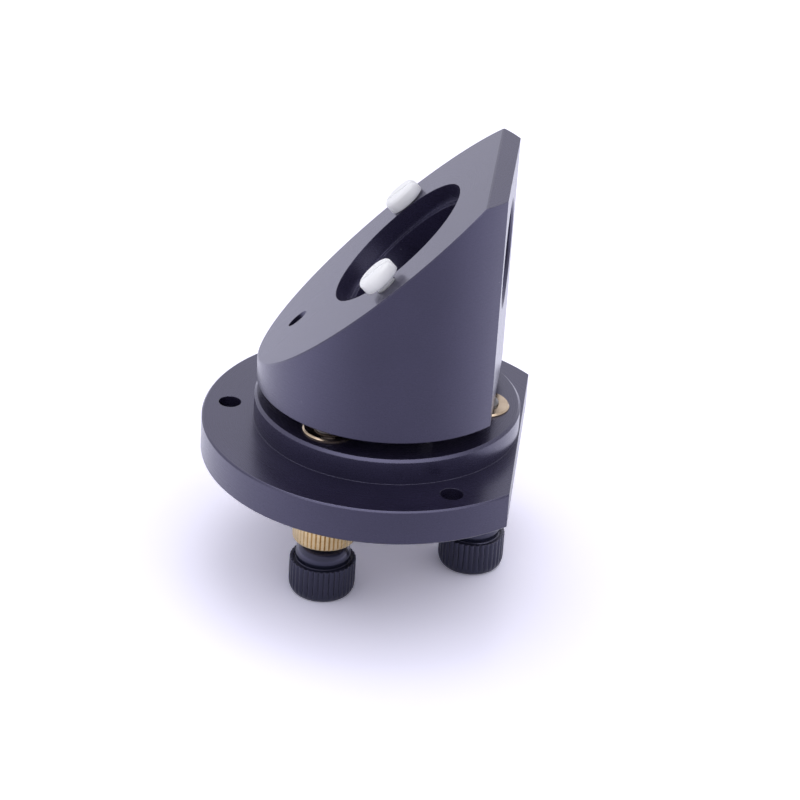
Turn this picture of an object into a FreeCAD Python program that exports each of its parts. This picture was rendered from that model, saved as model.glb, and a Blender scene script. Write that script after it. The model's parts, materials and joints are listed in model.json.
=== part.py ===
import FreeCAD, Part
import math
import os

import Sketcher
from FreeCAD import Placement, Rotation, Vector

# A kinematic 45 degree mirror mount. Millimetres. The origin is on the pilot boss's axis in the
# flange's seating face, +Z runs up through the tilting body and +X points at the two flats.

# Driving dimensions: lengths in millimetres, angles in degrees, counts as they are.
DIMENSIONS = {
    # Flange and pilot boss
    "flange_radius": 35.0,
    "flange_thickness": 7.0,
    "flange_flat": 25.4,
    "edge_break": 0.3,
    "boss_radius": 25.2,
    "boss_height": 5.0,
    "boss_chamfer": 0.5,
    "bolt_circle_radius": 30.0,
    "bolt_hole_radius": 2.15,
    "bolt_count": 3,
    # Tilting body
    "body_gap": 3.3,
    "body_radius": 24.9,
    "body_flat": 20.4,
    "body_height": 45.6,
    "body_edge_break": 0.2,
    "slope_rise": 28.7,
    "slope_angle": 45.0,
    "optic_seat_radius": 15.25,
    "optic_seat_depth": 3.6,
    "optic_ledge": 1.5,
    "light_passage_depth": 9.0,
    "beam_bore_radius": 10.0,
    "beam_bore_chamfer": 0.4,
    # Adjusters
    "adjuster_radius": 18.0,
    "adjuster_count": 3,
    "bushing_head_radius": 5.1,
    "bushing_head_height": 3.0,
    "bushing_head_proud": 0.5,
    "bushing_barrel_radius": 4.2,
    "bushing_reach": 4.5,
    "screw_radius": 3.0,
    "thread_clearance": 0.05,
    "screw_tip_chamfer": 0.6,
    "screw_end_recess": 0.4,
    "socket_flats": 3.0,
    "socket_depth": 3.0,
    "ball_radius": 1.5,
    "ball_drop": 1.0,
    "cup_rim_drop": 0.8,
    "cup_clearance": 0.03,
    # Knurled lock nuts and knobs
    "nut_radius": 6.0,
    "nut_height": 6.4,
    "nut_gap": 0.05,
    "nut_bevel": 0.4,
    "nut_ridges": 44,
    "knob_gap": 1.2,
    "knob_radius": 6.3,
    "knob_height": 10.15,
    "knob_knurl_height": 6.9,
    "knob_foot_bevel": 0.9,
    "knob_collar_radius": 5.6,
    "knob_collar_bevel": 0.9,
    "knob_ridges": 36,
    "knurl_depth": 0.28,
    "knurl_groove_share": 0.7,
    # Ball seats under the tilting body
    "seat_radius": 1.7,
    "seat_height": 3.0,
    "seat_pocket_clearance": 0.25,
    "ball_seat_gap": 0.08,
    # Springs that pull the tilting body down onto the balls
    "spring_circle_radius": 17.8,
    "spring_bore_radius": 1.6,
    "spring_bore_height": 9.2,
    "spring_radius": 1.3,
    "spring_wire_radius": 0.2,
    "spring_loop_radius": 0.9,
    "anchor_eye_height": 5.3,
    "anchor_eye_radius": 0.4,
    "anchor_tab_thickness": 0.8,
    "anchor_tab_width": 2.0,
    "anchor_plug_height": 2.0,
    "pin_radius": 0.6,
    "pin_length": 7.0,
    "pin_slot_clearance": 0.05,
    "pin_slot_depth": 2.0,
    # White clamp screws in the slope
    "clamp_offset": 18.2,
    "clamp_shank_radius": 2.0,
    "clamp_hole_clearance": 0.05,
    "clamp_hole_depth": 9.0,
    "clamp_shank_length": 8.0,
    "clamp_head_radius": 3.6,
    "clamp_head_height": 2.5,
    "clamp_head_bevel": 0.5,
    "clamp_slot_width": 1.1,
    "clamp_slot_depth": 1.1,
    "near_clamp_lift": 1.1,
    "far_clamp_lift": 0.3,
}

# Where the repeated pieces stand: degrees about +Z from +X.
ADJUSTER_ANGLES = {"right": 0, "rear": 120, "front": 240}
SPRING_ANGLES = {"rear_right": 60, "left": 180, "front_right": 300}
CLAMP_SIDES = {"near": -1, "far": 1}
# The groove of the front seat runs along its own Y axis until this turn points it at the cone.
GROOVE_TURN = 120

doc = FreeCAD.newDocument("mirror_mount")


class Size:
    """A size worked out from the sheet: its formula and its value now."""

    def __init__(self, formula, value):
        self.formula = formula
        self.value = value

    def joined(self, sign, other, value):
        return Size(f"({self.formula} {sign} {other.formula})", value)

    def __add__(self, other):
        other = as_size(other)
        return self.joined("+", other, self.value + other.value)

    def __sub__(self, other):
        other = as_size(other)
        return self.joined("-", other, self.value - other.value)

    def __mul__(self, other):
        other = as_size(other)
        return self.joined("*", other, self.value * other.value)

    def __truediv__(self, other):
        other = as_size(other)
        return self.joined("/", other, self.value / other.value)

    def __neg__(self):
        return self * -1


def as_size(number):
    return number if isinstance(number, Size) else Size(f"({number!r})", number)


def cosine(angle):
    return Size(f"cos({angle.formula} * 1deg)", math.cos(math.radians(angle.value)))


def sine(angle):
    return Size(f"sin({angle.formula} * 1deg)", math.sin(math.radians(angle.value)))


class Sheet:
    """Reads a driving dimension by its alias."""

    def __getattr__(self, alias):
        return Size(f"dims.{alias}", DIMENSIONS[alias])


def write_sheet():
    sheet = doc.addObject("Spreadsheet::Sheet", "dims")
    for row, (alias, number) in enumerate(DIMENSIONS.items(), start=1):
        sheet.set(f"A{row}", alias)
        sheet.set(f"B{row}", str(number))
        sheet.setAlias(f"B{row}", alias)
    doc.recompute()


d = Sheet()
ORIGIN = as_size(0)
OVERCUT = as_size(1)

# Heights worked out from the driving dimensions
flange_bottom = -d.flange_thickness
boss_top = d.boss_height
body_bottom = boss_top + d.body_gap
body_top = body_bottom + d.body_height
slope_middle = body_bottom + d.slope_rise
bushing_top = boss_top + d.bushing_head_proud
bushing_bottom = flange_bottom - d.bushing_reach
nut_top = bushing_bottom - d.nut_gap
nut_bottom = nut_top - d.nut_height
knob_top = nut_bottom - d.knob_gap
knob_bottom = knob_top - d.knob_height
ball_centre = body_bottom - d.ball_drop
screw_top = ball_centre - d.cup_rim_drop
screw_bottom = knob_bottom + d.screw_end_recess
seat_contact = d.ball_radius + d.ball_seat_gap
pin_height = flange_bottom + d.pin_slot_depth - d.pin_radius
eye_height = body_bottom + d.anchor_eye_height
passage_radius = d.optic_seat_radius - d.optic_ledge


# Sketches and features
def new_body(label):
    body = doc.addObject("PartDesign::Body", label)
    body.Label = label
    return body


def origin_feature(body, role):
    return next(item for item in body.Origin.OriginFeatures if item.Role == role)


def new_sketch(body, name, plane, height=ORIGIN, tilt=None):
    """A sketch on an origin plane, raised along its normal and leaned back about Y by tilt."""
    sketch = body.newObject("Sketcher::SketchObject", name)
    sketch.AttachmentSupport = [(origin_feature(body, plane), "")]
    sketch.MapMode = "FlatFace"
    if tilt is not None:
        sketch.AttachmentOffset = Placement(Vector(), Rotation(Vector(0, -1, 0), tilt.value))
        sketch.setExpression("AttachmentOffset.Rotation.Angle", f"{tilt.formula} * 1deg")
    sketch.setExpression("AttachmentOffset.Base.z", height.formula)
    return sketch


def bind(sketch, kind, value, *where):
    number = sketch.addConstraint(Sketcher.Constraint(kind, *where, value.value))
    sketch.setExpression(f"Constraints[{number}]", value.formula)


def place_point(sketch, geometry, point, across, along):
    bind(sketch, "DistanceX", across, -1, 1, geometry, point)
    bind(sketch, "DistanceY", along, -1, 1, geometry, point)


def draw_circle(sketch, radius, across=ORIGIN, along=ORIGIN):
    centre = Vector(across.value, along.value, 0)
    circle = sketch.addGeometry(Part.Circle(centre, Vector(0, 0, 1), radius.value), False)
    bind(sketch, "Radius", radius, circle)
    place_point(sketch, circle, 3, across, along)


def draw_polygon(sketch, corners):
    corners = [(as_size(across), as_size(along)) for across, along in corners]
    count = len(corners)
    points = [Vector(across.value, along.value, 0) for across, along in corners]
    lines = [
        sketch.addGeometry(Part.LineSegment(points[i], points[(i + 1) % count]), False)
        for i in range(count)
    ]
    for i in range(count):
        sketch.addConstraint(Sketcher.Constraint("Coincident", lines[i], 2, lines[(i + 1) % count], 1))
        place_point(sketch, lines[i], 1, *corners[i])


def rectangle(low_across, high_across, low_along, high_along):
    return [
        (low_across, low_along),
        (high_across, low_along),
        (high_across, high_along),
        (low_across, high_along),
    ]


def turned(body, kind, name, outline, axis_across=ORIGIN):
    """Revolves an outline of radii and heights about a vertical line, to add or to cut."""
    sketch = new_sketch(body, f"{name}_outline", "XZ_Plane")
    draw_polygon(sketch, [(axis_across + radius, height) for radius, height in outline])
    low, high = Vector(axis_across.value, 0, 0), Vector(axis_across.value, 1, 0)
    axis = sketch.addGeometry(Part.LineSegment(low, high), True)
    place_point(sketch, axis, 1, axis_across, ORIGIN)
    place_point(sketch, axis, 2, axis_across, as_size(1))
    feature = body.newObject(f"PartDesign::{kind}", name)
    feature.Profile = sketch
    feature.ReferenceAxis = (sketch, ["Axis0"])
    feature.Angle = 360
    return feature


def padded(body, name, sketch, length):
    pad = body.newObject("PartDesign::Pad", name)
    pad.Profile = sketch
    pad.setExpression("Length", length.formula)
    return pad


def pocketed(body, name, sketch, depth=None, reverse=False, both=False):
    """Cuts against the sketch's normal, to a depth or right through."""
    pocket = body.newObject("PartDesign::Pocket", name)
    pocket.Profile = sketch
    pocket.Reversed = reverse
    if both:
        pocket.SideType = "Symmetric"
    if depth is None:
        pocket.Type = "ThroughAll"
    else:
        pocket.setExpression("Length", depth.formula)
    return pocket


def ringed(body, name, features, occurrences):
    """Repeats features round the body's own Z axis."""
    pattern = body.newObject("PartDesign::PolarPattern", name)
    pattern.Originals = features
    pattern.Axis = (origin_feature(body, "Z_Axis"), [""])
    pattern.Angle = 360
    pattern.setExpression("Occurrences", occurrences.formula)
    body.Tip = pattern
    return pattern


def circle_edges(feature, radius, height):
    """Names of the whole circles of one radius at one height."""
    names = []
    for number, edge in enumerate(feature.Shape.Edges, start=1):
        curve = edge.Curve
        if not isinstance(curve, Part.Circle) or abs(curve.Axis.z) < 0.99:
            continue
        if abs(curve.Radius - radius.value) < 1e-4 and abs(curve.Center.z - height.value) < 1e-4:
            names.append(f"Edge{number}")
    return names


def slope_edges(feature):
    """Names of the edges all round the outside of the sloping face."""
    tilt = math.radians(d.slope_angle.value)
    normal = Vector(-math.sin(tilt), 0, math.cos(tilt))
    faces = [
        face for face in feature.Shape.Faces
        if isinstance(face.Surface, Part.Plane) and face.normalAt(0, 0).isEqual(normal, 1e-6)
    ]
    slope = max(faces, key=lambda face: face.Area)
    return [
        f"Edge{number}" for number, edge in enumerate(feature.Shape.Edges, start=1)
        if any(edge.isSame(rim) for rim in slope.OuterWire.Edges)
    ]


def level_edges(feature, height):
    """Names of the straight edges that lie at one height."""
    names = []
    for number, edge in enumerate(feature.Shape.Edges, start=1):
        box = edge.BoundBox
        level = abs(box.ZMin - height.value) < 1e-4 and abs(box.ZMax - height.value) < 1e-4
        if level and isinstance(edge.Curve, Part.Line):
            names.append(f"Edge{number}")
    return names


def bevelled(body, name, base, edges, size):
    chamfer = body.newObject("PartDesign::Chamfer", name)
    chamfer.Base = (base, edges)
    chamfer.setExpression("Size", size.formula)
    return chamfer


def stand_at(piece, radius, angle, turn=0):
    """Moves a piece out to a radius at an angle about Z, and turns it about its own axis."""
    place = Placement(Vector(), Rotation(Vector(0, 0, 1), turn))
    piece.Placement = place
    piece.setExpression("Placement.Base.x", f"{radius.formula} * cos({angle}deg)")
    piece.setExpression("Placement.Base.y", f"{radius.formula} * sin({angle}deg)")


def knurled_band(body, radius, bottom, height, ridges, low_bevel, high_bevel=None):
    """A band with one flat for each ridge, a bevelled end or two and a V groove at each corner."""
    step = 2 * math.pi / int(ridges.value)
    outline = new_sketch(body, "band_outline", "XY_Plane", bottom)
    draw_polygon(outline, [
        (radius * math.cos(step * side), radius * math.sin(step * side))
        for side in range(int(ridges.value))
    ])
    band = padded(body, "band", outline, height)
    doc.recompute()
    lower = bevelled(body, "lower_bevel", band, level_edges(band, bottom), low_bevel)
    if high_bevel is not None:
        doc.recompute()
        bevelled(body, "upper_bevel", lower, level_edges(lower, bottom + height), high_bevel)
    outside = radius + d.knurl_depth
    half_width = outside * math.pi / ridges * d.knurl_groove_share * 2
    groove = new_sketch(body, "groove_outline", "XY_Plane", bottom)
    draw_polygon(groove, [
        (radius - d.knurl_depth, ORIGIN),
        (outside, -half_width),
        (outside, half_width),
    ])
    cut = pocketed(body, "groove", groove, height, reverse=True)
    ringed(body, "knurl", [cut], ridges)


# Flange with its pilot boss
def make_base():
    body = new_body("base_flange")
    turned(body, "Revolution", "flange_and_boss", [
        (ORIGIN, flange_bottom),
        (d.flange_radius - d.edge_break, flange_bottom),
        (d.flange_radius, flange_bottom + d.edge_break),
        (d.flange_radius, -d.edge_break),
        (d.flange_radius - d.edge_break, ORIGIN),
        (d.boss_radius, ORIGIN),
        (d.boss_radius, boss_top - d.boss_chamfer),
        (d.boss_radius - d.boss_chamfer, boss_top),
        (ORIGIN, boss_top),
    ])
    flat = new_sketch(body, "flat_outline", "XY_Plane")
    reach = d.flange_radius * 2
    draw_polygon(flat, rectangle(d.flange_flat, reach, -reach, reach))
    pocketed(body, "flange_flat", flat, both=True)

    bolt = new_sketch(body, "bolt_hole_outline", "XY_Plane")
    draw_circle(bolt, d.bolt_hole_radius, -d.bolt_circle_radius)
    bolt_hole = pocketed(body, "bolt_hole", bolt, both=True)
    ringed(body, "bolt_holes", [bolt_hole], d.bolt_count)

    head_seat = bushing_top - d.bushing_head_height
    bushing_bore = turned(body, "Groove", "bushing_bore", [
        (ORIGIN, flange_bottom - OVERCUT),
        (d.bushing_barrel_radius, flange_bottom - OVERCUT),
        (d.bushing_barrel_radius, head_seat),
        (d.bushing_head_radius, head_seat),
        (d.bushing_head_radius, boss_top + OVERCUT),
        (ORIGIN, boss_top + OVERCUT),
    ], d.adjuster_radius)
    ringed(body, "bushing_bores", [bushing_bore], d.adjuster_count)

    spring = new_sketch(body, "spring_bore_outline", "XY_Plane")
    draw_circle(spring, d.spring_bore_radius, -d.spring_circle_radius)
    spring_bore = pocketed(body, "spring_bore", spring, both=True)
    slot = new_sketch(body, "pin_slot_outline", "XY_Plane", flange_bottom)
    half_length = d.pin_length / 2 + d.pin_slot_clearance
    half_width = d.pin_radius + d.pin_slot_clearance
    draw_polygon(slot, rectangle(
        -d.spring_circle_radius - half_length, -d.spring_circle_radius + half_length,
        -half_width, half_width))
    pin_slot = pocketed(body, "pin_slot", slot, d.pin_slot_depth, reverse=True)
    ringed(body, "spring_bores", [spring_bore, pin_slot], d.adjuster_count)
    return body


# Tilting body, cut at 45 degrees, that carries the optic
def make_mirror_body():
    body = new_body("mirror_body")
    disc = new_sketch(body, "disc_outline", "XY_Plane", body_bottom)
    draw_circle(disc, d.body_radius)
    padded(body, "cylinder", disc, d.body_height)

    flat = new_sketch(body, "flat_outline", "XY_Plane", body_bottom)
    reach = d.body_radius * 2
    draw_polygon(flat, rectangle(d.body_flat, reach, -reach, reach))
    pocketed(body, "front_flat", flat, reverse=True)

    slope = new_sketch(body, "slope_outline", "XY_Plane", slope_middle, d.slope_angle)
    slope_reach = d.body_height * 2
    draw_polygon(slope, rectangle(-slope_reach, slope_reach, -reach, reach))
    pocketed(body, "slope_cut", slope, reverse=True)

    seat = new_sketch(body, "optic_seat_outline", "XY_Plane", slope_middle, d.slope_angle)
    draw_circle(seat, d.optic_seat_radius)
    pocketed(body, "optic_seat", seat, d.optic_seat_depth)

    passage = new_sketch(body, "light_passage_outline", "XY_Plane", slope_middle, d.slope_angle)
    draw_circle(passage, passage_radius)
    pocketed(body, "light_passage", passage, d.light_passage_depth)

    bore = new_sketch(body, "beam_bore_outline", "YZ_Plane")
    draw_circle(bore, d.beam_bore_radius, ORIGIN, slope_middle)
    pocketed(body, "beam_bore", bore, reverse=True)
    mouth = new_sketch(body, "bore_mouth_outline", "XZ_Plane")
    inner = d.beam_bore_radius
    outer = inner + d.beam_bore_chamfer
    draw_polygon(mouth, [
        (d.body_flat - d.beam_bore_chamfer, slope_middle),
        (d.body_flat + OVERCUT, slope_middle),
        (d.body_flat + OVERCUT, slope_middle + outer + OVERCUT),
        (d.body_flat, slope_middle + outer),
        (d.body_flat - d.beam_bore_chamfer, slope_middle + inner),
    ])
    axis = mouth.addGeometry(Part.LineSegment(Vector(), Vector(1, 0, 0)), True)
    place_point(mouth, axis, 1, ORIGIN, slope_middle)
    place_point(mouth, axis, 2, as_size(1), slope_middle)
    chamfer = body.newObject("PartDesign::Groove", "bore_mouth")
    chamfer.Profile = mouth
    chamfer.ReferenceAxis = (mouth, ["Axis0"])
    chamfer.Angle = 360

    clamp = new_sketch(body, "clamp_hole_outline", "XY_Plane", slope_middle, d.slope_angle)
    clamp_hole_radius = d.clamp_shank_radius + d.clamp_hole_clearance
    draw_circle(clamp, clamp_hole_radius, ORIGIN, d.clamp_offset)
    draw_circle(clamp, clamp_hole_radius, ORIGIN, -d.clamp_offset)
    pocketed(body, "clamp_holes", clamp, d.clamp_hole_depth)

    for place, angle in ADJUSTER_ANGLES.items():
        clearance = ORIGIN if place == "rear" else d.seat_pocket_clearance
        pocket = new_sketch(body, f"{place}_seat_outline", "XY_Plane", body_bottom)
        across = d.adjuster_radius * cosine(as_size(angle))
        along = d.adjuster_radius * sine(as_size(angle))
        draw_circle(pocket, d.seat_radius + clearance, across, along)
        pocketed(body, f"{place}_seat_pocket", pocket, d.seat_height + clearance, reverse=True)

    # The left spring bore runs out through the low end of the slope, the other two are blind.
    through = new_sketch(body, "left_spring_outline", "XY_Plane", body_bottom)
    draw_circle(through, d.spring_bore_radius, -d.spring_circle_radius)
    pocketed(body, "left_spring_bore", through, reverse=True)
    blind = new_sketch(body, "right_spring_outline", "XY_Plane", body_bottom)
    for place in ("rear_right", "front_right"):
        angle = as_size(SPRING_ANGLES[place])
        draw_circle(blind, d.spring_bore_radius, d.spring_circle_radius * cosine(angle),
                    d.spring_circle_radius * sine(angle))
    bores = pocketed(body, "right_spring_bores", blind, d.spring_bore_height, reverse=True)
    doc.recompute()
    edges = slope_edges(bores) + circle_edges(bores, d.body_radius, body_bottom)
    bevelled(body, "edge_breaks", bores, edges, d.body_edge_break)
    return body


# One adjuster: bushing, screw, captured ball, lock nut and knob
def make_bushing(place, angle):
    body = new_body(f"{place}_bushing")
    bore = d.screw_radius + d.thread_clearance
    head_seat = bushing_top - d.bushing_head_height
    turned(body, "Revolution", "bushing", [
        (bore, bushing_bottom),
        (d.bushing_barrel_radius, bushing_bottom),
        (d.bushing_barrel_radius, head_seat),
        (d.bushing_head_radius, head_seat),
        (d.bushing_head_radius, bushing_top - d.edge_break),
        (d.bushing_head_radius - d.edge_break, bushing_top),
        (bore, bushing_top),
    ])
    stand_at(body, d.adjuster_radius, angle)
    return body


def make_screw(place, angle):
    body = new_body(f"{place}_screw")
    turned(body, "Revolution", "shank", [
        (ORIGIN, screw_bottom),
        (d.screw_radius, screw_bottom),
        (d.screw_radius, screw_top - d.screw_tip_chamfer),
        (d.screw_radius - d.screw_tip_chamfer, screw_top),
        (ORIGIN, screw_top),
    ])
    # The cup is a cone with square flanks that stand clear of the ball.
    cup_bottom = ball_centre - (d.ball_radius + d.cup_clearance) * math.sqrt(2)
    cup_mouth = screw_top + OVERCUT
    turned(body, "Groove", "ball_cup", [
        (ORIGIN, cup_bottom),
        (cup_mouth - cup_bottom, cup_mouth),
        (ORIGIN, cup_mouth),
    ])
    socket = new_sketch(body, "socket_outline", "XY_Plane", screw_bottom)
    corner = d.socket_flats / math.sqrt(3)
    draw_polygon(socket, [
        (corner * math.cos(math.radians(60 * side)), corner * math.sin(math.radians(60 * side)))
        for side in range(6)
    ])
    pocketed(body, "hex_socket", socket, d.socket_depth, reverse=True)
    stand_at(body, d.adjuster_radius, angle)
    return body


def make_ball(place, angle):
    ball = doc.addObject("Part::Sphere", f"{place}_ball")
    ball.Label = f"{place}_ball"
    ball.setExpression("Radius", d.ball_radius.formula)
    ball.setExpression("Placement.Base.z", ball_centre.formula)
    stand_at(ball, d.adjuster_radius, angle)
    return ball


def make_lock_nut(place, angle):
    body = new_body(f"{place}_lock_nut")
    knurled_band(body, d.nut_radius, nut_bottom, d.nut_height, d.nut_ridges, d.nut_bevel, d.nut_bevel)
    bore = new_sketch(body, "bore_outline", "XY_Plane")
    draw_circle(bore, d.screw_radius + d.thread_clearance)
    pocketed(body, "bore", bore, both=True)
    stand_at(body, d.adjuster_radius, angle)
    return body


def make_knob(place, angle):
    body = new_body(f"{place}_knob")
    band_top = knob_bottom + d.knob_knurl_height
    knurled_band(body, d.knob_radius, knob_bottom, d.knob_knurl_height, d.knob_ridges, d.knob_foot_bevel)
    turned(body, "Revolution", "collar", [
        (ORIGIN, band_top),
        (d.knob_collar_radius, band_top),
        (d.knob_collar_radius, knob_top - d.knob_collar_bevel),
        (d.knob_collar_radius - d.knob_collar_bevel, knob_top),
        (ORIGIN, knob_top),
    ])
    bore = new_sketch(body, "bore_outline", "XY_Plane")
    draw_circle(bore, d.screw_radius)
    pocketed(body, "bore", bore, both=True)
    stand_at(body, d.adjuster_radius, angle)
    return body


# Seats: a cone, a groove that points at the cone, and a flat
def make_seat(place, angle):
    body = new_body(f"{place}_seat")
    bottom = ball_centre + seat_contact if place == "rear" else body_bottom
    turned(body, "Revolution", "disc", [
        (ORIGIN, bottom),
        (d.seat_radius, bottom),
        (d.seat_radius, body_bottom + d.seat_height),
        (ORIGIN, body_bottom + d.seat_height),
    ])
    # The cone and the groove have square flanks, 45 degrees each side, that touch the ball.
    apex = ball_centre + seat_contact * math.sqrt(2)
    half_mouth = apex - body_bottom + OVERCUT
    turn = 0
    if place == "right":
        turned(body, "Groove", "cone", [
            (ORIGIN, body_bottom - OVERCUT),
            (half_mouth, body_bottom - OVERCUT),
            (ORIGIN, apex),
        ])
    elif place == "front":
        groove = new_sketch(body, "groove_outline", "XZ_Plane")
        draw_polygon(groove, [
            (-half_mouth, body_bottom - OVERCUT),
            (half_mouth, body_bottom - OVERCUT),
            (ORIGIN, apex),
        ])
        pocketed(body, "groove", groove, both=True)
        turn = GROOVE_TURN
    stand_at(body, d.adjuster_radius, angle, turn)
    return body


# Springs with the pins and eyes that hold their ends
def make_spring(place, angle):
    body = new_body(f"{place}_spring")
    low_loop = pin_height
    high_loop = eye_height - d.spring_loop_radius
    turned(body, "Revolution", "coil", [
        (ORIGIN, low_loop + d.spring_loop_radius),
        (d.spring_radius, low_loop + d.spring_loop_radius),
        (d.spring_radius, high_loop - d.spring_loop_radius),
        (ORIGIN, high_loop - d.spring_loop_radius),
    ])
    for name, height in (("lower_loop", low_loop), ("upper_loop", high_loop)):
        loop = new_sketch(body, f"{name}_outline", "YZ_Plane", -d.spring_wire_radius)
        draw_circle(loop, d.spring_loop_radius + d.spring_wire_radius, ORIGIN, height)
        draw_circle(loop, d.spring_loop_radius - d.spring_wire_radius, ORIGIN, height)
        padded(body, name, loop, d.spring_wire_radius * 2)
    stand_at(body, d.spring_circle_radius, angle, angle)
    return body


def make_spring_pin(place, angle):
    body = new_body(f"{place}_spring_pin")
    round_bar = new_sketch(body, "pin_outline", "YZ_Plane", -d.pin_length / 2)
    draw_circle(round_bar, d.pin_radius, ORIGIN, pin_height)
    padded(body, "pin", round_bar, d.pin_length)
    stand_at(body, d.spring_circle_radius, angle, angle)
    return body


def make_spring_anchor(place, angle):
    body = new_body(f"{place}_spring_anchor")
    tab_bottom = eye_height - d.anchor_tab_width / 2
    tab_top = eye_height + d.anchor_tab_width / 2
    plug = new_sketch(body, "plug_outline", "XY_Plane", tab_top)
    draw_circle(plug, d.spring_bore_radius)
    padded(body, "plug", plug, d.anchor_plug_height)
    tab = new_sketch(body, "tab_outline", "XY_Plane", tab_bottom)
    half_width = d.anchor_tab_width / 2
    half_thickness = d.anchor_tab_thickness / 2
    draw_polygon(tab, rectangle(-half_width, half_width, -half_thickness, half_thickness))
    padded(body, "tab", tab, d.anchor_tab_width + d.anchor_plug_height / 2)
    eye = new_sketch(body, "eye_outline", "XZ_Plane")
    draw_circle(eye, d.anchor_eye_radius, ORIGIN, eye_height)
    pocketed(body, "eye", eye, both=True)
    stand_at(body, d.spring_circle_radius, angle, angle)
    return body


# Slotted clamp screws that hold the optic in its seat
def make_clamp_screw(place, side):
    body = new_body(f"{place}_clamp_screw")
    lift = getattr(d, f"{place}_clamp_lift")
    head_top = lift + d.clamp_head_height
    blank = turned(body, "Revolution", "blank", [
        (ORIGIN, -d.clamp_shank_length),
        (d.clamp_shank_radius, -d.clamp_shank_length),
        (d.clamp_shank_radius, lift),
        (d.clamp_head_radius, lift),
        (d.clamp_head_radius, head_top),
        (ORIGIN, head_top),
    ])
    doc.recompute()
    bevelled(body, "rim", blank, circle_edges(blank, d.clamp_head_radius, head_top), d.clamp_head_bevel)
    slot = new_sketch(body, "slot_outline", "XY_Plane", head_top)
    reach = d.clamp_head_radius + OVERCUT
    draw_polygon(slot, rectangle(-reach, reach, -d.clamp_slot_width / 2, d.clamp_slot_width / 2))
    pocketed(body, "slot", slot, d.clamp_slot_depth)
    body.Placement = Placement(Vector(), Rotation(Vector(0, -1, 0), d.slope_angle.value))
    body.setExpression("Placement.Rotation.Angle", f"{d.slope_angle.formula} * 1deg")
    body.setExpression("Placement.Base.y", (d.clamp_offset * side).formula)
    body.setExpression("Placement.Base.z", slope_middle.formula)
    return body


def make_parts():
    parts = [make_base(), make_mirror_body()]
    for place, angle in ADJUSTER_ANGLES.items():
        for make in (make_bushing, make_screw, make_ball, make_lock_nut, make_knob, make_seat):
            parts.append(make(place, angle))
    for place, angle in SPRING_ANGLES.items():
        for make in (make_spring, make_spring_pin, make_spring_anchor):
            parts.append(make(place, angle))
    for place, side in CLAMP_SIDES.items():
        parts.append(make_clamp_screw(place, side))
    return parts


def check_and_export(parts):
    doc.recompute()
    for item in doc.Objects:
        if "Invalid" in item.State or "Error" in item.State:
            raise RuntimeError(f"{item.Name} is {item.State}")
    os.makedirs("parts", exist_ok=True)
    for part in parts:
        shape = part.Shape
        if shape.isNull() or not shape.isValid() or len(shape.Solids) != 1:
            raise RuntimeError(f"{part.Label} has a broken shape")
        shape.exportStep(os.path.join("parts", f"{part.Label}.step"))
        print(f"{part.Label}: {shape.Volume:.1f} mm3, faces {len(shape.Faces)}")


write_sheet()
check_and_export(make_parts())
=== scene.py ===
import json
import math

import bmesh
import bpy
from mathutils import Matrix, Vector


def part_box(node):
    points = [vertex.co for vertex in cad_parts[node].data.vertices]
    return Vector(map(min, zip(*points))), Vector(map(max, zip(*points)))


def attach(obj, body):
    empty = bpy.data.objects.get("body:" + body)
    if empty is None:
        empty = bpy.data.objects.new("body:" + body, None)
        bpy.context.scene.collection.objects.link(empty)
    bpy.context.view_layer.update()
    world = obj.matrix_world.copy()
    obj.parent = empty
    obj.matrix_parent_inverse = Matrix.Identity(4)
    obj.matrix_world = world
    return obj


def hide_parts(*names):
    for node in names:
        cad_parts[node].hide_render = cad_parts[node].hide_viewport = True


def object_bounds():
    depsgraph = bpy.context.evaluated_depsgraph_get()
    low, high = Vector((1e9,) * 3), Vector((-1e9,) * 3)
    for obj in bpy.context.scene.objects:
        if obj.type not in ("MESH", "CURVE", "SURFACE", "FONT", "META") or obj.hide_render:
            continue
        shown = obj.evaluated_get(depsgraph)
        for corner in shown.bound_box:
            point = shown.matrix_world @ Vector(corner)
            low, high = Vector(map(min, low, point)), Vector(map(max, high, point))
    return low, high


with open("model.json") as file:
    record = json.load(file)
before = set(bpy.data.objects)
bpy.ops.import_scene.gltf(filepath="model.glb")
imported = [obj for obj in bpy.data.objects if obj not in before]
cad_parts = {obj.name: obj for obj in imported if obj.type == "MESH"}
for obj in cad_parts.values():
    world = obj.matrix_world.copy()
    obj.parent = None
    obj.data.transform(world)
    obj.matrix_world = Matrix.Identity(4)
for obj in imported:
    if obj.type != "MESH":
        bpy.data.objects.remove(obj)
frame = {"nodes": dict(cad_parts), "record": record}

# Looks of a 45 degree kinematic mirror mount. Metres; sizes here are written in millimetres
# times MM. Every piece stands where the frame's own node stands.
MM = 0.001
CAD_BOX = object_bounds()

# Camera of the photograph
CAMERA_PLACE = (0.04234, -0.50767, 0.27954)
CAMERA_RIGHT = (0.9922, 0.10995, 0.05877)
CAMERA_UP = (-0.10384, 0.46788, 0.87767)
CAMERA_BACK = (0.0690, -0.87692, 0.47565)
CAMERA_LENS = 137.75
CAMERA_SENSOR = 36.0
CAMERA_NEAR = 0.01
CAMERA_FAR = 20.0

# Shading of meshes: points this near are one, and edges sharper than the angle stay sharp
MERGE_DISTANCE = 1e-7
SHARP_ANGLE = 35
WIRE_SHARP_ANGLE = 60

# Thread form: walls at least this near the full radius are bent, and a wave of the height is
# stretched and lowered, so that it has flat crests and flat roots
THREAD_WALL_SHARE = 0.98
THREAD_STRETCH = 1.25
THREAD_FLAT = 0.125

# Where the repeated pieces stand: degrees about +Z from +X
ADJUSTER_ANGLES = {"right": 0, "rear": 120, "front": 240}
SPRING_ANGLES = {"rear_right": 60, "left": 180, "front_right": 300}

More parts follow.
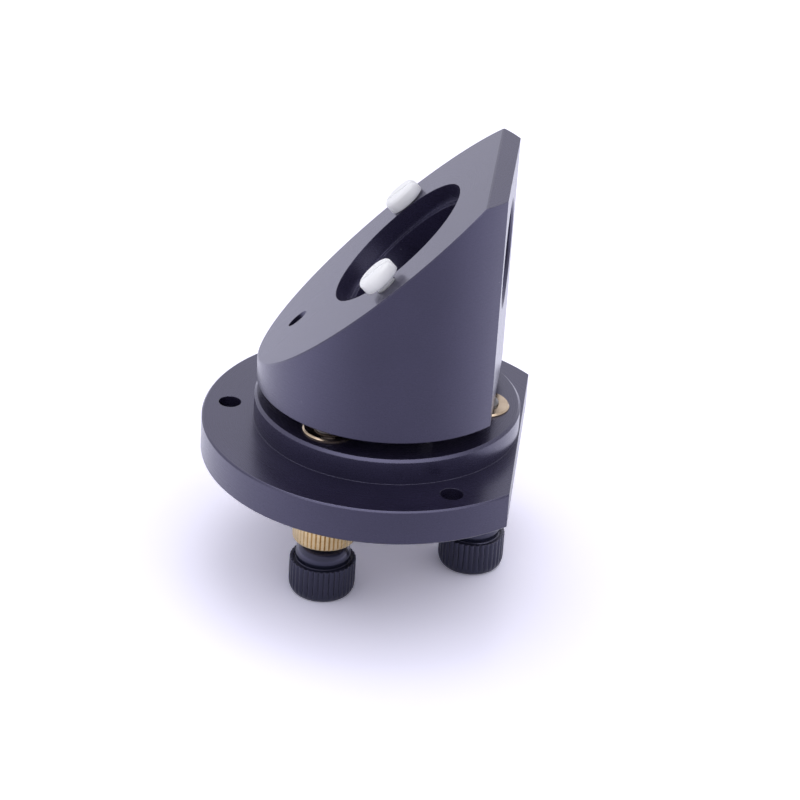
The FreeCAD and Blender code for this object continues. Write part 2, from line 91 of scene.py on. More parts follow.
# Adjuster screw, ball, lock nut and knob
ADJUSTER_RADIUS = 18.0 * MM
SCREW_RADIUS = 3.0 * MM
THREAD_PITCH = 0.5 * MM
THREAD_DEPTH = 0.27 * MM
THREAD_ROWS = 6
SCREW_COLUMNS = 36
TINY_SHARE = 0.03
SCREW_END_CHAMFER = 0.3 * MM
SCREW_TIP_CHAMFER = 0.6 * MM
CUP_RADIUS = 1.36 * MM
SOCKET_HALF_FLATS = 1.5 * MM
SOCKET_DEPTH = 3.0 * MM
SOCKET_CHAMFER = 0.12 * MM
BORE_RADIUS = 3.05 * MM
COLUMNS_PER_RIDGE = 10
NUT_RADIUS = 6.0 * MM
NUT_RIDGES = 44
NUT_RIDGE_DEPTH = 0.28 * MM
NUT_CREST_SHARE = 0.62
NUT_ROUND = 0.42 * MM
KNOB_RADIUS = 6.3 * MM
KNOB_RIDGES = 36
KNOB_RIDGE_DEPTH = 0.26 * MM
KNOB_CREST_SHARE = 0.34
KNURL_HEIGHT = 6.9 * MM
KNURL_MIDDLE_SHARE = 0.6
KNURL_TOP_ROUND = 0.12 * MM
FOOT_WIDTH = 1.05 * MM
FOOT_HEIGHT = 2.2 * MM
GROOVE_DEPTH = 0.35 * MM
COLLAR_RADIUS = 5.25 * MM
COLLAR_ROUND_WIDTH = 1.6 * MM
COLLAR_ROUND_HEIGHT = 2.4 * MM
BORE_CHAMFER = 0.2 * MM

# Extension springs
SPRING_CIRCLE = 17.8 * MM
COIL_RADIUS = 1.1 * MM
WIRE_RADIUS = 0.2 * MM
LOOP_RADIUS = 0.9 * MM
COIL_TURNS = 17
COIL_STEPS = 16
LOW_HOOK_START = 130
HIGH_HOOK_START = -90
HOOK_SWEEP = 320
HOOK_STEPS = 20
HOOK_EASE = 8
WIRE_COLUMNS = 8

# Clamp screws
SLOPE_MIDDLE = 37.0 * MM
SLOPE_ANGLE = 45
CLAMP_OFFSETS = {"near": -18.2 * MM, "far": 18.2 * MM}
CLAMP_LIFTS = {"near": 1.1 * MM, "far": 0.3 * MM}
CLAMP_HEAD_RADIUS = 3.6 * MM
CLAMP_HEAD_HEIGHT = 2.5 * MM
CLAMP_HEAD_ROUND = 0.75 * MM
CLAMP_RIM_ROUND = 0.15 * MM
CLAMP_END_CHAMFER = 0.3 * MM
CLAMP_SHANK_RADIUS = 2.0 * MM
CLAMP_SHANK_LENGTH = 7.95 * MM
CLAMP_PITCH = 0.7 * MM
CLAMP_THREAD_DEPTH = 0.38 * MM
CLAMP_SLOT = 0.8 * MM
CLAMP_SLOT_LENGTH = CLAMP_HEAD_RADIUS * 2.4
CLAMP_SLOT_EDGE = 0.08 * MM
CLAMP_SLOT_EDGE_ANGLE = 50
CLAMP_COLUMNS = 48

# Black anodised aluminium: dark and light dye, roughness and index of refraction
ANODISED = {
    "black_anodised": ((0.013, 0.011, 0.027), (0.018, 0.015, 0.036), 0.28, 1.8),
    "knob_black": ((0.008, 0.009, 0.019), (0.012, 0.013, 0.027), 0.24, 1.73),
}
DYE_SHEEN = (0.70, 0.68, 0.98)
BARE_EDGE = (0.16, 0.155, 0.19)
EDGE_ROUND = 0.16 * MM
DUST = (0.5, 0.5, 0.55)
DUST_SHARE = 0.3
GRAIN_HEIGHT = 0.002 * MM

# Bare turned metals: dark and light tone, roughness and, where they differ, how close and how
# high the turning lines are
METALS = {
    "bushing_brass": ((0.43, 0.33, 0.23), (0.57, 0.46, 0.34), 0.17),
    "nut_brass": ((0.56, 0.42, 0.23), (0.76, 0.60, 0.37), 0.24),
    "screw_steel": ((0.10, 0.095, 0.10), (0.20, 0.19, 0.19), 0.30),
    "ball_steel": ((0.62, 0.62, 0.64), (0.70, 0.70, 0.72), 0.10, 1.0, 0.001 * MM),
    "seat_steel": ((0.42, 0.42, 0.44), (0.52, 0.52, 0.54), 0.28),
    "spring_steel": ((0.40, 0.39, 0.37), (0.52, 0.51, 0.48), 0.30),
    "pin_steel": ((0.42, 0.42, 0.42), (0.52, 0.52, 0.52), 0.26),
}
LINE_SCALE = 4.0
LINE_HEIGHT = 0.004 * MM

# Nylon
NYLON_DIM = (0.94, 0.94, 0.95)
NYLON_CLEAR = (0.97, 0.97, 0.98)
NYLON_ROUGHNESS = (0.40, 0.52)
NYLON_DEPTH = 2.0 * MM
NYLON_SPREAD = (1.0, 1.0, 1.0)
NYLON_MILK = 0.8
NYLON_UNEVEN = 0.01 * MM

# Room: what lights the object, and what its faces mirror from the front to behind, and above
ROOM_LIGHT = 0.88
ROOM_TINT = (0.93, 0.93, 1.0)
ROOM_FRONT = 0.72
ROOM_BEHIND = 1.12
ROOM_PANEL = 2.2
WHITE = (1.0, 1.0, 1.0)

# Floor: its real colours, what the camera sees of it, and what the object's faces mirror of it, with a
# painted shade near the object and in front of it and painted light at the sides and far off
FLOOR_SIZE = 3.0
FLOOR_DIM = (0.92, 0.92, 0.94)
FLOOR_CLEAR = (0.94, 0.94, 0.96)
FLOOR_SEEN = (1.32, 1.30, 1.45)
FLOOR_MIRRORED_PAINTED_SHADE = (0.9, 0.9, 0.98)
FLOOR_MIRRORED_PAINTED_LIGHT_SIDE = (1.65, 1.65, 1.8)
FLOOR_MIRRORED_PAINTED_LIGHT_FAR = (1.2, 1.2, 1.32)
FLOOR_PAINTED_SHADE_PLACE = (45.0, -165.0, 0.0)

# Soft lamp behind and above the object
LAMP_PLACE = (-0.1, 0.3, 0.85)
LAMP_SIZE = 0.5
LAMP_POWER = 1.0
LAMP_COLOUR = (1.0, 0.99, 0.98)


# Mesh helpers
def finish_mesh(name, bm, material, sharp_angle=SHARP_ANGLE):
    """Makes an object of a bmesh, shaded smooth apart from edges sharper than the angle."""
    bmesh.ops.remove_doubles(bm, verts=bm.verts, dist=MERGE_DISTANCE)
    bmesh.ops.recalc_face_normals(bm, faces=bm.faces)
    mesh = bpy.data.meshes.new(name)
    bm.to_mesh(mesh)
    bm.free()
    mesh.materials.append(material)
    mesh.polygons.foreach_set("use_smooth", [True] * len(mesh.polygons))
    mesh.set_sharp_from_angle(angle=math.radians(sharp_angle))
    piece = bpy.data.objects.new(name, mesh)
    bpy.context.scene.collection.objects.link(piece)
    return piece


def arc(centre, radius, start, end, steps, height=None):
    """Points of a round or oval arc in the radius and height plane, angles in degrees."""
    points = []
    for i in range(steps + 1):
        turn = math.radians(start + (end - start) * i / steps)
        points.append((centre[0] + radius * math.cos(turn), centre[1] + (height or radius) * math.sin(turn)))
    return points


def skin(bm, rows, columns, shape=None, closed=False, place=Matrix()):
    """A surface of rings: each row is a radius and a height, and shape bends it by the angle."""
    rings = []
    for radius, height in rows:
        ring = []
        for column in range(columns):
            angle = 2 * math.pi * column / columns
            r, z = shape(radius, height, angle) if shape else (radius, height)
            ring.append(bm.verts.new(place @ Vector((r * math.cos(angle), r * math.sin(angle), z))))
        rings.append(ring)
    pairs = list(zip(rings, rings[1:]))
    if closed:
        pairs.append((rings[-1], rings[0]))
    for low, high in pairs:
        for i in range(columns):
            j = (i + 1) % columns
            bm.faces.new((low[i], low[j], high[j], high[i]))
    return rings


def stand(angle, radius):
    """Moves a piece from the middle axis out to a radius, at an angle in degrees."""
    turn = math.radians(angle)
    return Matrix.Translation((radius * math.cos(turn), radius * math.sin(turn), 0))


def knurled(full_radius, ridges, depth, crest_share):
    """Bends rings by straight ridges: flat crests, sloping flanks and sharp valleys between."""
    def shape(radius, height, angle):
        across = abs((angle * ridges / (2 * math.pi)) % 1.0 * 2 - 1)
        fall = max(0.0, across - crest_share) / (1 - crest_share)
        return min(radius, full_radius - depth * fall), height
    return shape


def threaded(radius, pitch, depth, low, high):
    """Bends rings into a thread between two heights, fading at its ends."""
    def shape(r, z, angle):
        if r < radius * THREAD_WALL_SHARE or z < low or z > high:
            return r, z
        wave = abs(((z / pitch - angle / (2 * math.pi)) % 1.0) * 2 - 1)
        root = min(1.0, max(0.0, wave * THREAD_STRETCH - THREAD_FLAT))
        fade = min(1.0, (z - low) / pitch, (high - z) / pitch)
        return r - depth * fade * root, z
    return shape


# Material helpers
def new_material(name, colour, roughness, metallic=0.0):
    material = bpy.data.materials.new(name)
    material.use_nodes = True
    tree = material.node_tree
    shader = tree.nodes["Principled BSDF"]
    shader.inputs["Base Color"].default_value = (*colour, 1)
    shader.inputs["Roughness"].default_value = roughness
    shader.inputs["Metallic"].default_value = metallic
    return material, tree, shader


def add(tree, kind, **values):
    """Adds a node. Names that start with in_ set that input, others set the node itself."""
    node = tree.nodes.new(kind)
    for key, value in values.items():
        if key.startswith("in_"):
            slot = key[3:]
            node.inputs[int(slot) if slot.isdigit() else slot].default_value = value
        else:
            setattr(node, key, value)
    return node


def place_in_mm(tree):
    """The object's own coordinates in millimetres."""
    coordinates = add(tree, "ShaderNodeTexCoord")
    scale = add(tree, "ShaderNodeVectorMath", operation="SCALE", in_Scale=1 / MM)
    tree.links.new(coordinates.outputs["Object"], scale.inputs[0])
    return scale.outputs[0]


def maths(tree, operation, first, second=None, clamp=False):
    """One step of arithmetic on one or two values, each a number or a socket."""
    node = add(tree, "ShaderNodeMath", operation=operation, use_clamp=clamp)
    for slot, value in enumerate((first, second)):
        if value is None:
            continue
        if isinstance(value, (int, float)):
            node.inputs[slot].default_value = value
        else:
            tree.links.new(value, node.inputs[slot])
    return node.outputs[0]


def noise(tree, vector, scale, detail=2.0):
    node = add(tree, "ShaderNodeTexNoise", in_Scale=scale, in_Detail=detail)
    tree.links.new(vector, node.inputs["Vector"])
    return node.outputs["Fac"]


def lines(tree, along, scale, detail=3.0):
    """Fine uneven lines along one measure, as a lathe or a mill leaves them."""
    node = add(tree, "ShaderNodeTexNoise", noise_dimensions="1D", in_Scale=scale, in_Detail=detail)
    tree.links.new(along, node.inputs["W"])
    return node.outputs["Fac"]


def spread(tree, value, low, high, start=0.3, end=0.7):
    """Goes from low to high while the value goes from start to end."""
    node = add(tree, "ShaderNodeMapRange", in_1=start, in_2=end, in_3=low, in_4=high)
    tree.links.new(value, node.inputs[0])
    return node.outputs[0]


def tinted(tree, factor, first, second):
    """Goes from the first colour to the second; either may be a plain colour or a socket."""
    mix = add(tree, "ShaderNodeMix", data_type="RGBA")
    for slot, colour in (("A", first), ("B", second)):
        if isinstance(colour, tuple):
            mix.inputs[slot].default_value = (*colour, 1)
        else:
            tree.links.new(colour, mix.inputs[slot])
    tree.links.new(factor, mix.inputs["Factor"])
    return mix.outputs["Result"]


def bumped(tree, shader, height, distance, normal=None):
    bump = add(tree, "ShaderNodeBump", in_Distance=distance)
    tree.links.new(height, bump.inputs["Height"])
    if normal:
        tree.links.new(normal, bump.inputs["Normal"])
    tree.links.new(bump.outputs[0], shader.inputs["Normal"])


def lathe_measure(tree, place):
    """Grows outward and upward, so that lines of it run round the axis."""
    parts = add(tree, "ShaderNodeSeparateXYZ")
    tree.links.new(place, parts.inputs[0])
    across = maths(tree, "MULTIPLY", parts.outputs[0], parts.outputs[0])
    along = maths(tree, "MULTIPLY", parts.outputs[1], parts.outputs[1])
    flat = maths(tree, "SQRT", maths(tree, "ADD", across, along))
    return maths(tree, "ADD", flat, parts.outputs[2])


def worn_edges(tree, radius):
    """The normal rounded over at edges, and how far it departs from the flat one there."""
    soft = add(tree, "ShaderNodeBevel", samples=4, in_Radius=radius)
    flat = add(tree, "ShaderNodeNewGeometry")
    agree = add(tree, "ShaderNodeVectorMath", operation="DOT_PRODUCT")
    tree.links.new(soft.outputs[0], agree.inputs[0])
    tree.links.new(flat.outputs["Normal"], agree.inputs[1])
    worn = spread(tree, agree.outputs["Value"], low=1.0, high=0.0, start=0.72, end=0.98)
    return soft.outputs[0], worn


def specks(tree, place, cell_scale=0.3, radius=0.03, rarity=0.8):
    """Grains of dust, a fifth of a millimetre across, in a few of the cells."""
    cells = add(tree, "ShaderNodeTexVoronoi", in_Scale=cell_scale)
    tree.links.new(place, cells.inputs["Vector"])
    near = maths(tree, "LESS_THAN", cells.outputs["Distance"], radius)
    split = add(tree, "ShaderNodeSeparateColor")
    tree.links.new(cells.outputs["Color"], split.inputs[0])
    return maths(tree, "MULTIPLY", near, maths(tree, "GREATER_THAN", split.outputs[0], rarity))


# Materials
def anodised(name, dark, light, roughness, index):
    """Satin anodised aluminium: cloudy dye, faint turning lines, a fine grain and bright edges."""
    material, tree, shader = new_material(name, dark, roughness)
    shader.inputs["IOR"].default_value = index
    shader.inputs["Specular Tint"].default_value = (*DYE_SHEEN, 1)
    place = place_in_mm(tree)
    grain = noise(tree, place, scale=7.0)
    turned = lines(tree, lathe_measure(tree, place), scale=3.0, detail=4.0)
    rounded, worn = worn_edges(tree, EDGE_ROUND)

    cloud = spread(tree, noise(tree, place, scale=0.09, detail=4.0), low=0.0, high=1.0)
    patchy = spread(tree, noise(tree, place, scale=1.5, detail=3.0), low=0.15, high=0.75)
    rubbed = maths(tree, "MULTIPLY", worn, patchy)
    edged = tinted(tree, rubbed, tinted(tree, cloud, dark, light), BARE_EDGE)
    dust = maths(tree, "MULTIPLY", specks(tree, place), DUST_SHARE)
    tree.links.new(tinted(tree, dust, edged, DUST), shader.inputs["Base Color"])

    satin = spread(tree, grain, low=roughness - 0.02, high=roughness + 0.02)
    streaks = spread(tree, turned, low=-0.008, high=0.008)
    tree.links.new(maths(tree, "ADD", satin, streaks), shader.inputs["Roughness"])

    coarse = maths(tree, "MULTIPLY", grain, 0.5)
    faint = maths(tree, "MULTIPLY", turned, 0.06)
    bumped(tree, shader, maths(tree, "ADD", coarse, faint), GRAIN_HEIGHT, rounded)
    return material


def turned_metal(name, dark, light, roughness, line_scale=LINE_SCALE, line_height=LINE_HEIGHT):
    """Bare turned metal with fine lines and an uneven tone."""
    material, tree, shader = new_material(name, light, roughness, metallic=1.0)
    place = place_in_mm(tree)
    turned = lines(tree, lathe_measure(tree, place), line_scale, detail=4.0)
    cloud = maths(tree, "MULTIPLY", noise(tree, place, scale=0.5, detail=4.0), 0.6)
    tone = maths(tree, "ADD", cloud, maths(tree, "MULTIPLY", turned, 0.4))
    colour = tinted(tree, spread(tree, tone, low=0.0, high=1.0), dark, light)
    dull = spread(tree, turned, low=roughness - 0.04, high=roughness + 0.05)
    tree.links.new(colour, shader.inputs["Base Color"])
    tree.links.new(dull, shader.inputs["Roughness"])
    bumped(tree, shader, turned, line_height)
    return material


def nylon(name):
    """Natural nylon: slightly milky, with a faint moulded unevenness."""
    material, tree, shader = new_material(name, NYLON_DIM, NYLON_ROUGHNESS[0])
    place = place_in_mm(tree)
    fine = noise(tree, place, scale=6.0, detail=3.0)
    milk = spread(tree, noise(tree, place, scale=0.6, detail=3.0), low=0.0, high=1.0)
    tree.links.new(tinted(tree, milk, NYLON_DIM, NYLON_CLEAR), shader.inputs["Base Color"])
    tree.links.new(spread(tree, fine, *NYLON_ROUGHNESS), shader.inputs["Roughness"])
    shader.inputs["Subsurface Weight"].default_value = NYLON_MILK
    shader.inputs["Subsurface Radius"].default_value = NYLON_SPREAD
    shader.inputs["Subsurface Scale"].default_value = NYLON_DEPTH
    bumped(tree, shader, fine, NYLON_UNEVEN)
    return material


def make_materials():
    materials = {name: anodised(name, *values) for name, values in ANODISED.items()}
    materials.update({name: turned_metal(name, *values) for name, values in METALS.items()})
    materials["nylon_white"] = nylon("nylon_white")
    return materials


def dress_nodes(materials):
    """Gives every node of the frame the material of its slot."""
    slots = {part["node"]: part["material_slot"] for part in frame["record"]["subparts"]}
    for node, piece in frame["nodes"].items():
        material = materials[slots[node]]
        if not piece.material_slots:
            piece.data.materials.append(material)
        for slot in piece.material_slots:
            slot.material = material


# Pieces
def height_of(node):
    """The lowest and the highest point of a node."""
    low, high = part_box(node)
    return low.z, high.z


def register(piece, node, body):
    """Lets a piece ride on a body and take the place of a node, which it hides."""
    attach(piece, body)
    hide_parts(node)


def make_knob(place, angle, material):
    """A knob from its bore over the rounded foot, the knurl and the groove to the collar."""
    node = f"{place}_knob"
    foot, top = height_of(node)
    band_top = foot + KNURL_HEIGHT
    foot_centre = (KNOB_RADIUS - FOOT_WIDTH, foot + FOOT_HEIGHT)
    band_centre = (KNOB_RADIUS - KNURL_TOP_ROUND, band_top - KNURL_TOP_ROUND)
    collar_centre = (COLLAR_RADIUS - COLLAR_ROUND_WIDTH, top - COLLAR_ROUND_HEIGHT)
    rows = [
        (SCREW_RADIUS, foot + KNURL_HEIGHT / 2),
        (SCREW_RADIUS, foot + BORE_CHAMFER),
        (SCREW_RADIUS + BORE_CHAMFER, foot),
        (KNOB_RADIUS - FOOT_WIDTH - BORE_CHAMFER, foot),
    ]
    rows += arc(foot_centre, FOOT_WIDTH, -90, 0, 14, FOOT_HEIGHT)
    rows += [(KNOB_RADIUS, foot + KNURL_HEIGHT * KNURL_MIDDLE_SHARE)]
    rows += arc(band_centre, KNURL_TOP_ROUND, 0, 90, 4)
    rows += arc((COLLAR_RADIUS, band_top), GROOVE_DEPTH, 0, -180, 8)
    rows += arc(collar_centre, COLLAR_ROUND_WIDTH, 0, 90, 12, COLLAR_ROUND_HEIGHT)
    rows += [(SCREW_RADIUS + BORE_CHAMFER, top), (SCREW_RADIUS, top - BORE_CHAMFER)]
    bm = bmesh.new()
    ridges = knurled(KNOB_RADIUS, KNOB_RIDGES, KNOB_RIDGE_DEPTH, KNOB_CREST_SHARE)
    skin(bm, rows, KNOB_RIDGES * COLUMNS_PER_RIDGE, ridges, True, stand(angle, ADJUSTER_RADIUS))
    piece = finish_mesh(f"{place}_knurled_knob", bm, material)
    register(piece, node, f"{place}_adjuster")


def make_lock_nut(place, angle, material):
    """A knurled ring with rounded ends and a chamfered bore."""
    node = f"{place}_lock_nut"
    low, high = height_of(node)
    middle = (low + high) / 2
    rows = [
        (BORE_RADIUS, middle),
        (BORE_RADIUS, low + BORE_CHAMFER),
        (BORE_RADIUS + BORE_CHAMFER, low),
        (NUT_RADIUS - NUT_ROUND - BORE_CHAMFER, low),
    ]
    rows += arc((NUT_RADIUS - NUT_ROUND, low + NUT_ROUND), NUT_ROUND, -90, 0, 6)
    rows += [(NUT_RADIUS, middle)]
    rows += arc((NUT_RADIUS - NUT_ROUND, high - NUT_ROUND), NUT_ROUND, 0, 90, 6)
    rows += [
        (NUT_RADIUS - NUT_ROUND - BORE_CHAMFER, high),
        (BORE_RADIUS + BORE_CHAMFER, high),
        (BORE_RADIUS, high - BORE_CHAMFER),
    ]
    bm = bmesh.new()
    ridges = knurled(NUT_RADIUS, NUT_RIDGES, NUT_RIDGE_DEPTH, NUT_CREST_SHARE)
    skin(bm, rows, NUT_RIDGES * COLUMNS_PER_RIDGE, ridges, True, stand(angle, ADJUSTER_RADIUS))
    piece = finish_mesh(f"{place}_knurled_nut", bm, material)
    register(piece, node, f"{place}_lock_ring")


def make_screw(place, angle, material):
    """A threaded screw with a hex socket in its low end and a cup for the ball in its tip."""
    node = f"{place}_screw"
    low, high = height_of(node)
    start = low + SCREW_END_CHAMFER
    end = high - SCREW_TIP_CHAMFER
    thread = threaded(SCREW_RADIUS, THREAD_PITCH, THREAD_DEPTH, start, end)

    def shape(radius, height, around):
        if radius <= SOCKET_HALF_FLATS + SOCKET_CHAMFER and height <= low + SOCKET_DEPTH:
            side = (around + math.pi / 6) % (math.pi / 3) - math.pi / 6
            return radius / math.cos(side), height
        return thread(radius, height, around)

    steps = int((high - low) / THREAD_PITCH * THREAD_ROWS)
    rows = [
        (SOCKET_HALF_FLATS * TINY_SHARE, low + SOCKET_DEPTH),
        (SOCKET_HALF_FLATS, low + SOCKET_DEPTH),
        (SOCKET_HALF_FLATS, low + SOCKET_CHAMFER),
        (SOCKET_HALF_FLATS + SOCKET_CHAMFER, low),
        (SCREW_RADIUS - SCREW_END_CHAMFER, low),
    ]
    rows += [(SCREW_RADIUS, start + (end - start) * i / steps) for i in range(steps + 1)]
    rows += [
        (SCREW_RADIUS - SCREW_TIP_CHAMFER, high),
        (CUP_RADIUS, high),
        (CUP_RADIUS * TINY_SHARE, high - CUP_RADIUS * (1 - TINY_SHARE)),
    ]
    bm = bmesh.new()
    rings = skin(bm, rows, SCREW_COLUMNS, shape, False, stand(angle, ADJUSTER_RADIUS))
    bm.faces.new(rings[0])
    bm.faces.new(rings[-1])
    piece = finish_mesh(f"{place}_threaded_screw", bm, material)
    register(piece, node, f"{place}_adjuster")


def tube(bm, path, radius, columns):
    """A round wire along a path of points, closed at both ends."""
    rings = []
    side = Vector((0, 0, 1))
    for i, point in enumerate(path):
        ahead = (path[min(i + 1, len(path) - 1)] - path[max(i - 1, 0)]).normalized()
        side = (side - ahead * side.dot(ahead)).normalized()
        up = ahead.cross(side)
        ring = []
        for column in range(columns):
            turn = 2 * math.pi * column / columns
            ring.append(bm.verts.new(point + (side * math.cos(turn) + up * math.sin(turn)) * radius))
        rings.append(ring)
    for low, high in zip(rings, rings[1:]):
        for i in range(columns):
            j = (i + 1) % columns
            bm.faces.new((low[i], low[j], high[j], high[i]))
    bm.faces.new(rings[0])
    bm.faces.new(rings[-1])


def hook(middle, start):
    """An open loop of wire in the upright plane, from a start angle in degrees."""
    points = []
    for i in range(HOOK_STEPS + 1):
        turn = math.radians(start + HOOK_SWEEP * i / HOOK_STEPS)
        points.append(Vector((0, LOOP_RADIUS * math.cos(turn), middle + LOOP_RADIUS * math.sin(turn))))
    return points


def make_spring(place, angle, material):
    """A close coil whose wire ends in a hook at each end."""
    node = f"{place}_spring"
    low, high = height_of(node)
    low_loop = low + WIRE_RADIUS + LOOP_RADIUS
    high_loop = high - WIRE_RADIUS - LOOP_RADIUS
    bottom = low_loop + LOOP_RADIUS
    top = high_loop - LOOP_RADIUS
    path = hook(low_loop, LOW_HOOK_START)
    steps = COIL_TURNS * COIL_STEPS
    for i in range(steps + 1):
        turn = 2 * math.pi * i / COIL_STEPS + math.pi / 2
        reach = COIL_RADIUS * min(1.0, i / HOOK_EASE, (steps - i) / HOOK_EASE)
        height = bottom + (top - bottom) * i / steps
        path.append(Vector((reach * math.cos(turn), reach * math.sin(turn), height)))
    path += hook(high_loop, HIGH_HOOK_START)
    place_at = stand(angle, SPRING_CIRCLE) @ Matrix.Rotation(math.radians(angle), 4, "Z")
    bm = bmesh.new()
    tube(bm, [place_at @ point for point in path], WIRE_RADIUS, WIRE_COLUMNS)
    piece = finish_mesh(f"{place}_coil_spring", bm, material, WIRE_SHARP_ANGLE)
    register(piece, node, "base")


def make_clamp_screw(place, material):
    """A slotted cheese head screw whose axis leans back with the slope."""
    node = f"{place}_clamp_screw"
    lift = CLAMP_LIFTS[place]
    lean = Matrix.Rotation(math.radians(-SLOPE_ANGLE), 4, "Y")
    place_at = Matrix.Translation((0, CLAMP_OFFSETS[place], SLOPE_MIDDLE)) @ lean
    head_top = lift + CLAMP_HEAD_HEIGHT
    start = CLAMP_END_CHAMFER - CLAMP_SHANK_LENGTH
    thread = threaded(CLAMP_SHANK_RADIUS, CLAMP_PITCH, CLAMP_THREAD_DEPTH, start, lift)

    def shape(radius, height, around):
        return thread(radius, height, around) if radius <= CLAMP_SHANK_RADIUS else (radius, height)

    steps = int((lift - start) / CLAMP_PITCH * THREAD_ROWS)
    under = (CLAMP_HEAD_RADIUS - CLAMP_RIM_ROUND, lift + CLAMP_RIM_ROUND)
    over = (CLAMP_HEAD_RADIUS - CLAMP_HEAD_ROUND, head_top - CLAMP_HEAD_ROUND)
    rows = [
        (CLAMP_SHANK_RADIUS * TINY_SHARE, -CLAMP_SHANK_LENGTH),
        (CLAMP_SHANK_RADIUS - CLAMP_END_CHAMFER, -CLAMP_SHANK_LENGTH),
    ]
    rows += [(CLAMP_SHANK_RADIUS, start + (lift - start) * i / steps) for i in range(steps + 1)]
    rows += arc(under, CLAMP_RIM_ROUND, -90, 0, 3)
    rows += arc(over, CLAMP_HEAD_ROUND, 0, 90, 7)
    rows += [(CLAMP_HEAD_RADIUS * TINY_SHARE, head_top)]
    bm = bmesh.new()
    rings = skin(bm, rows, CLAMP_COLUMNS, shape, False, place_at)
    bm.faces.new(rings[0])
    bm.faces.new(rings[-1])
    piece = finish_mesh(f"{place}_nylon_screw", bm, material)
    cut_slot(piece, place_at @ Matrix.Translation((0, 0, head_top)))
    register(piece, node, f"{place}_clamp")


def cut_slot(piece, place_at):
    """Cuts the driver slot across the head, and rounds its edges a little."""
    bm = bmesh.new()
    bmesh.ops.create_cube(bm, size=1)
    size = Matrix.Diagonal((CLAMP_SLOT_LENGTH, CLAMP_SLOT, CLAMP_SLOT * 2, 1))
    bmesh.ops.transform(bm, matrix=place_at @ size, verts=bm.verts)
    cutter = finish_mesh("slot_cutter", bm, piece.data.materials[0])
    slot = piece.modifiers.new("slot", "BOOLEAN")
    slot.object = cutter
    slot.solver = "EXACT"
    edges = piece.modifiers.new("edges", "BEVEL")
    edges.width = CLAMP_SLOT_EDGE
    edges.segments = 2
    edges.limit_method = "ANGLE"
    edges.angle_limit = math.radians(CLAMP_SLOT_EDGE_ANGLE)
    graph = bpy.context.evaluated_depsgraph_get()
    result = bpy.data.meshes.new_from_object(piece.evaluated_get(graph))
    piece.modifiers.clear()
    piece.data = result
    bpy.data.objects.remove(cutter)


def make_pieces(materials):
    for place, angle in ADJUSTER_ANGLES.items():
        make_knob(place, angle, materials["knob_black"])
        make_lock_nut(place, angle, materials["nut_brass"])
        make_screw(place, angle, materials["screw_steel"])
    for place, angle in SPRING_ANGLES.items():
        make_spring(place, angle, materials["spring_steel"])
    for place in CLAMP_LIFTS:
        make_clamp_screw(place, materials["nylon_white"])


# Stage, lights and camera
def make_world():
    """An even dome for light; mirrored, it is dim in front, bright behind and brightest above."""
    world = bpy.data.worlds.new("white_room")
    bpy.context.scene.world = world
    world.use_nodes = True
    tree = world.node_tree
    tree.nodes.clear()
    path = add(tree, "ShaderNodeLightPath")
    glossy, through = path.outputs["Is Glossy Ray"], path.outputs["Is Transmission Ray"]
    mirrored = maths(tree, "ADD", glossy, through, clamp=True)
    direction = add(tree, "ShaderNodeTexCoord")
    parts = add(tree, "ShaderNodeSeparateXYZ")
    tree.links.new(direction.outputs["Generated"], parts.inputs[0])
    aside = maths(tree, "MULTIPLY", parts.outputs["X"], 0.5)
    behind = maths(tree, "SUBTRACT", parts.outputs["Y"], aside)
    wall = spread(tree, behind, ROOM_FRONT, ROOM_BEHIND, start=-1.0, end=0.6)
    panel = spread(tree, parts.outputs["Z"], low=0.0, high=ROOM_PANEL, start=0.70, end=0.85)

    unseen = add(tree, "ShaderNodeMix", in_2=ROOM_LIGHT)
    tree.links.new(mirrored, unseen.inputs[0])
    tree.links.new(maths(tree, "ADD", wall, panel), unseen.inputs[3])
    strength = add(tree, "ShaderNodeMix", in_3=1.0)
    tree.links.new(path.outputs["Is Camera Ray"], strength.inputs[0])
    tree.links.new(unseen.outputs[0], strength.inputs[2])
    back = add(tree, "ShaderNodeBackground")
    colour = tinted(tree, path.outputs["Is Camera Ray"], ROOM_TINT, WHITE)
    out = add(tree, "ShaderNodeOutputWorld")
    tree.links.new(colour, back.inputs["Color"])
    tree.links.new(strength.outputs[0], back.inputs["Strength"])
    tree.links.new(back.outputs[0], out.inputs[0])


def distance(tree, place, centre, start, end):
    """Goes from 0 to 1 between two distances from a point, in millimetres."""
    away = add(tree, "ShaderNodeVectorMath", operation="DISTANCE", in_1=centre)
    tree.links.new(place, away.inputs[0])
    return spread(tree, away.outputs["Value"], low=0.0, high=1.0, start=start, end=end)


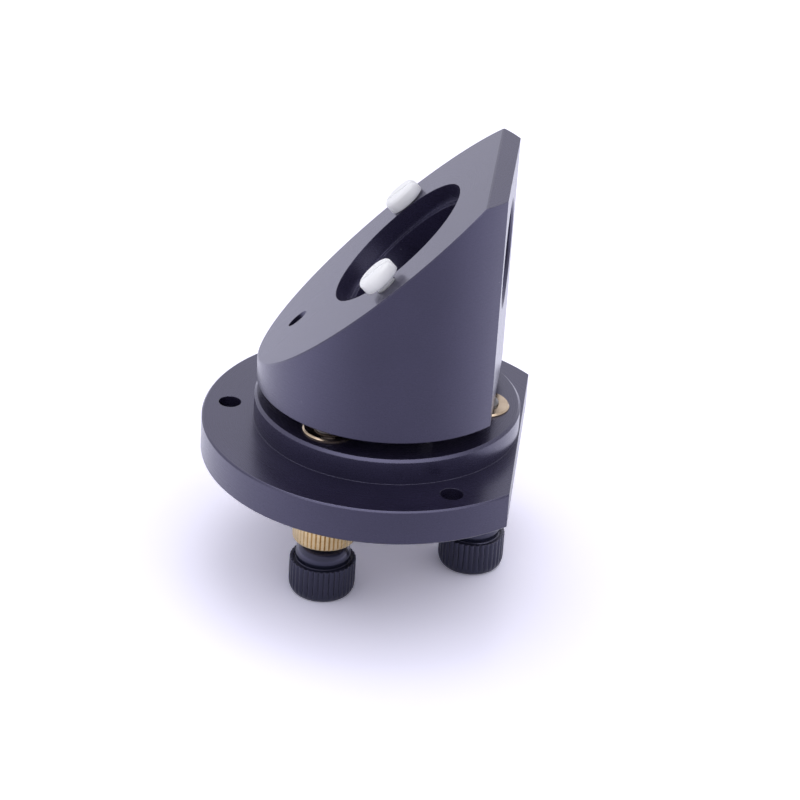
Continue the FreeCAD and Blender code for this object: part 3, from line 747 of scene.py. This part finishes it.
def floor_colour(tree):
    """The floor's colour: one for the camera, one in mirrored rays and one for all the others. The mirrored
    one is painted: darker near the object and in front of it as painted shade, and brighter at the sides and
    far off as painted light.
    """
    path = add(tree, "ShaderNodeLightPath")
    place = place_in_mm(tree)
    middle = (0.0, 0.0, 0.0)
    lit = tinted(tree, noise(tree, place, scale=0.02), FLOOR_DIM, FLOOR_CLEAR)
    # Painted shadow in mirrored rays: the floor is darker within 30 to 75 mm of the middle, and a painted
    # shade darkens it round a place in front of the object
    past_painted_shadow = distance(tree, place, middle, 30.0, 75.0)
    past_painted_front_shade = distance(tree, place, FLOOR_PAINTED_SHADE_PLACE, 90.0, 190.0)
    # Painted light in mirrored rays: the floor is brighter than its real colour at the sides, and a little
    # less bright far off
    far_share_of_painted_light = distance(tree, place, middle, 180.0, 450.0)
    painted_floor_light_and_shade = tinted(tree, far_share_of_painted_light, FLOOR_MIRRORED_PAINTED_LIGHT_SIDE, FLOOR_MIRRORED_PAINTED_LIGHT_FAR)
    painted_floor_light_and_shade = tinted(tree, maths(tree, "MULTIPLY", past_painted_shadow, past_painted_front_shade), FLOOR_MIRRORED_PAINTED_SHADE, painted_floor_light_and_shade)
    # Mirrored rays see the floor with its painted shade and painted light
    mirrored = tinted(tree, path.outputs["Is Glossy Ray"], lit, painted_floor_light_and_shade)
    return tinted(tree, path.outputs["Is Camera Ray"], mirrored, FLOOR_SEEN)


def make_floor():
    """A matt white ground; seen from below it is clear, so that it never hides the underside."""
    material = bpy.data.materials.new("white_floor")
    material.use_nodes = True
    tree = material.node_tree
    tree.nodes.clear()
    matt = add(tree, "ShaderNodeBsdfDiffuse")
    clear = add(tree, "ShaderNodeBsdfTransparent")
    side = add(tree, "ShaderNodeNewGeometry")
    from_below = add(tree, "ShaderNodeMixShader")
    out = add(tree, "ShaderNodeOutputMaterial")
    tree.links.new(floor_colour(tree), matt.inputs["Color"])
    tree.links.new(side.outputs["Backfacing"], from_below.inputs[0])
    tree.links.new(matt.outputs[0], from_below.inputs[1])
    tree.links.new(clear.outputs[0], from_below.inputs[2])
    tree.links.new(from_below.outputs[0], out.inputs[0])
    bm = bmesh.new()
    bmesh.ops.create_grid(bm, x_segments=2, y_segments=2, size=FLOOR_SIZE)
    bmesh.ops.translate(bm, verts=bm.verts, vec=(0, 0, CAD_BOX[0].z))
    floor = finish_mesh("floor", bm, material)
    if floor.data.polygons[0].normal.z < 0:
        floor.data.flip_normals()


def make_light():
    """A round soft box that faces the object."""
    lamp = bpy.data.lights.new("soft_box", "AREA")
    lamp.shape = "DISK"
    lamp.size = LAMP_SIZE
    lamp.energy = LAMP_POWER
    lamp.color = LAMP_COLOUR
    piece = bpy.data.objects.new("soft_box", lamp)
    piece.location = LAMP_PLACE
    piece.rotation_euler = (-Vector(LAMP_PLACE)).to_track_quat("-Z", "Y").to_euler()
    bpy.context.scene.collection.objects.link(piece)


def make_camera():
    camera = bpy.data.cameras.new("camera")
    camera.lens = CAMERA_LENS
    camera.sensor_width = CAMERA_SENSOR
    camera.clip_start = CAMERA_NEAR
    camera.clip_end = CAMERA_FAR
    piece = bpy.data.objects.new("camera", camera)
    columns = Matrix((CAMERA_RIGHT, CAMERA_UP, CAMERA_BACK)).transposed()
    piece.matrix_world = Matrix.Translation(CAMERA_PLACE) @ columns.to_4x4()
    bpy.context.scene.collection.objects.link(piece)
    bpy.context.scene.camera = piece


bpy.context.scene.view_settings.view_transform = "Standard"
make_camera()
make_world()
make_floor()
make_light()
palette = make_materials()
dress_nodes(palette)
make_pieces(palette)
